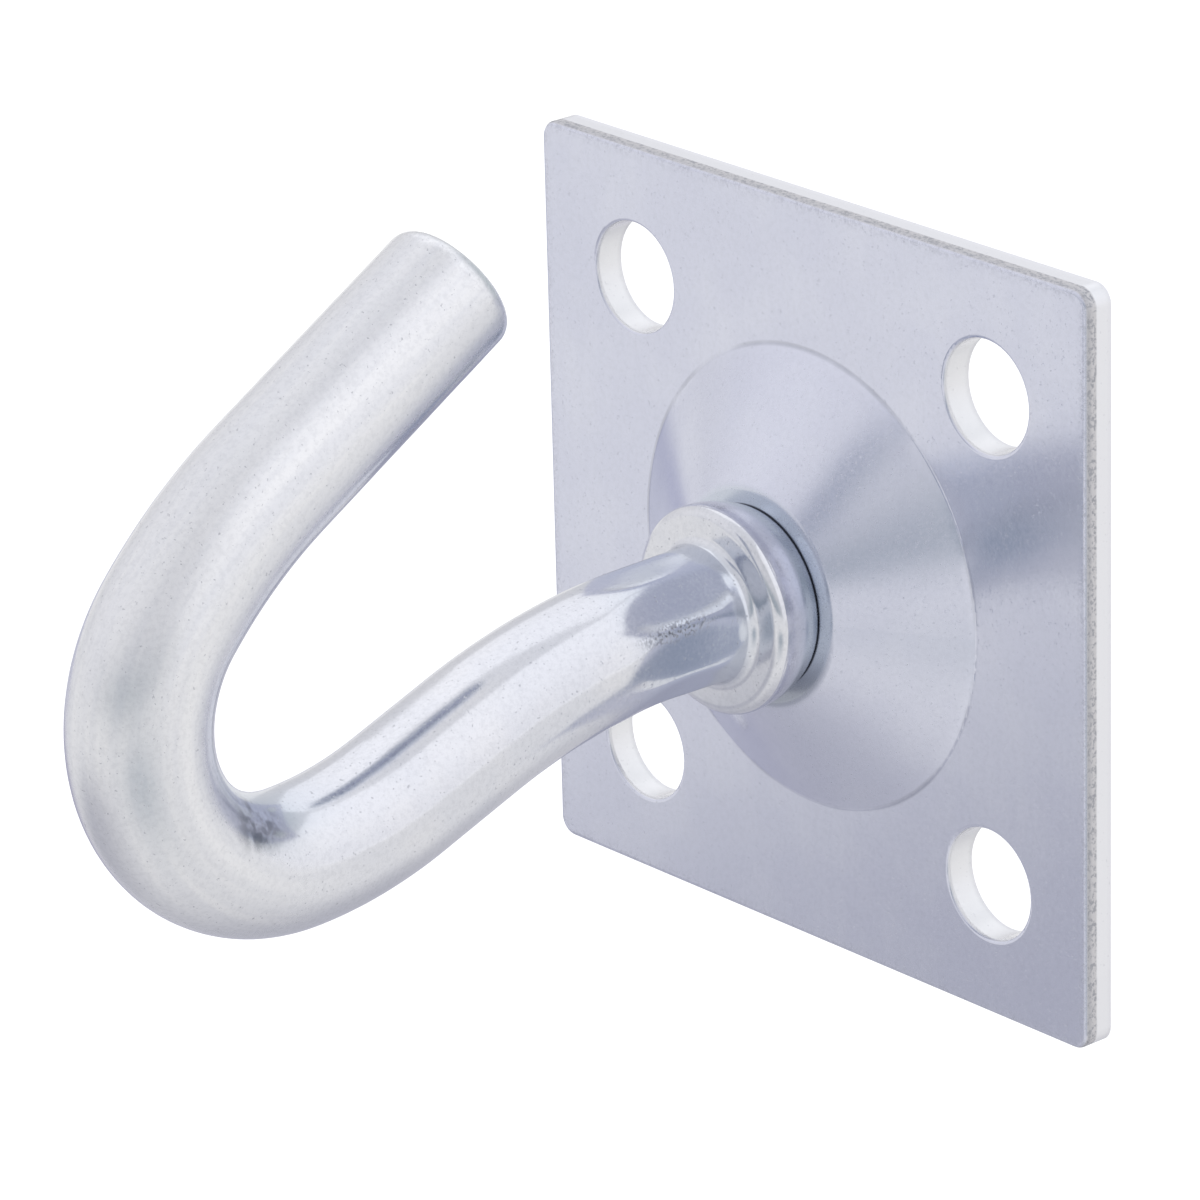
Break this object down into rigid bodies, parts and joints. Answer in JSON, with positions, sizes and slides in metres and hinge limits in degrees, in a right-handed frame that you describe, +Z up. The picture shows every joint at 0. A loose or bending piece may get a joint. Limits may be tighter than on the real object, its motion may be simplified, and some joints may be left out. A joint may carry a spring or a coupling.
{
  "type": "clothesline hook",
  "caption": "Open bar hook with an upset collar, riveted to a square domed wall plate with corner screw holes, for tying off a clothesline.",
  "frame": {"origin": "centre of the plate's back, which lies against the wall", "axes": "+Y into the wall, +Z up, the hook stands out along -Y and opens upwards"},
  "size_m": [0.045, 0.0541, 0.0497],
  "materials": {
    "plate_zinc": "zinc plated sheet steel, satin, pale blue passivation",
    "bar_zinc": "zinc plated bar steel, satin, pale blue passivation"
  },
  "bodies": {
    "root": {"mounting_plate": "plate_zinc", "hook": "bar_zinc"}
  },
  "joints": []
}
